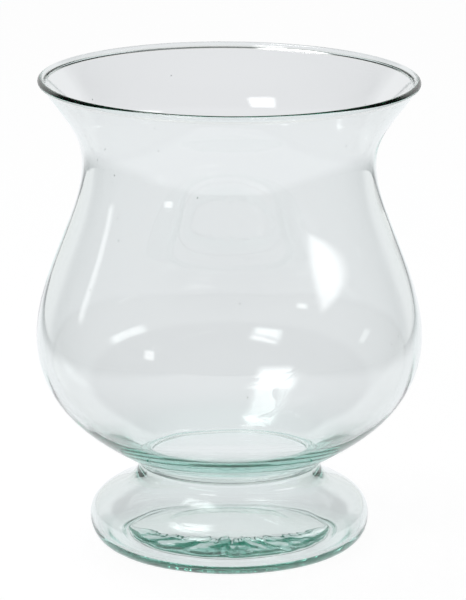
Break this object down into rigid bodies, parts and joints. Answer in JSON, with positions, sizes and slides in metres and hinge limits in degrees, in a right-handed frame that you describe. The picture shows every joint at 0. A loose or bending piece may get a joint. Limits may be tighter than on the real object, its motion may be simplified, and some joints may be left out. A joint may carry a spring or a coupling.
{
  "type": "footed glass vase",
  "caption": "Clear blue-green blown glass vase with a flared, fire-rounded lip, a full belly pinched to a sharp crease, and a hollow flattened foot with a rough punty scar beneath.",
  "frame": {"origin": "middle of the circle that the foot rests on, at floor level", "axes": "+Z is the vase's axis and points up to the mouth; it is turned round this axis, so X and Y are free"},
  "size_m": [0.1954, 0.1954, 0.24],
  "materials": {
    "glass": "clear, fire polished",
    "rough_glass": "cracked-off glass, left rough"
  },
  "bodies": {
    "root": {"bowl": "glass", "foot": "glass", "punty_ring": "rough_glass"}
  },
  "joints": []
}
